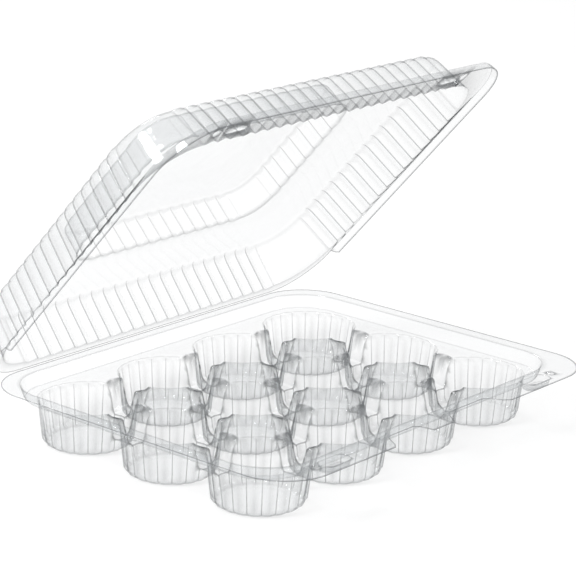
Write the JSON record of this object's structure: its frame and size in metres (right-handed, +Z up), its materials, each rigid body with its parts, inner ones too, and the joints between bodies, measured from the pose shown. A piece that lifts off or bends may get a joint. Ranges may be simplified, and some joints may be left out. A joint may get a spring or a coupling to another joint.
{
  "type": "cupcake box",
  "caption": "Clear hinged box with deep fluted cups for cupcakes and a ribbed, two-tier lid that shuts over a rim.",
  "frame": {"origin": "middle of the open box's footprint, on the surface that the cups stand on", "axes": "+X along the crease, +Y from the front to the crease, +Z up"},
  "size_m": [0.3532, 0.3018, 0.2571],
  "materials": {
    "clear_sheet": "clear, glossy formed sheet"
  },
  "bodies": {
    "tray": {"base_tray": "clear_sheet"},
    "lid": {"lid": "clear_sheet"}
  },
  "joints": [
    {"name": "lid_fold", "type": "hinge", "parent": "tray", "child": "lid", "pos_m": [0, 0.13506, 0.0427], "axis": [-1, 0, 0], "range_deg": [-48, 132]}
  ]
}
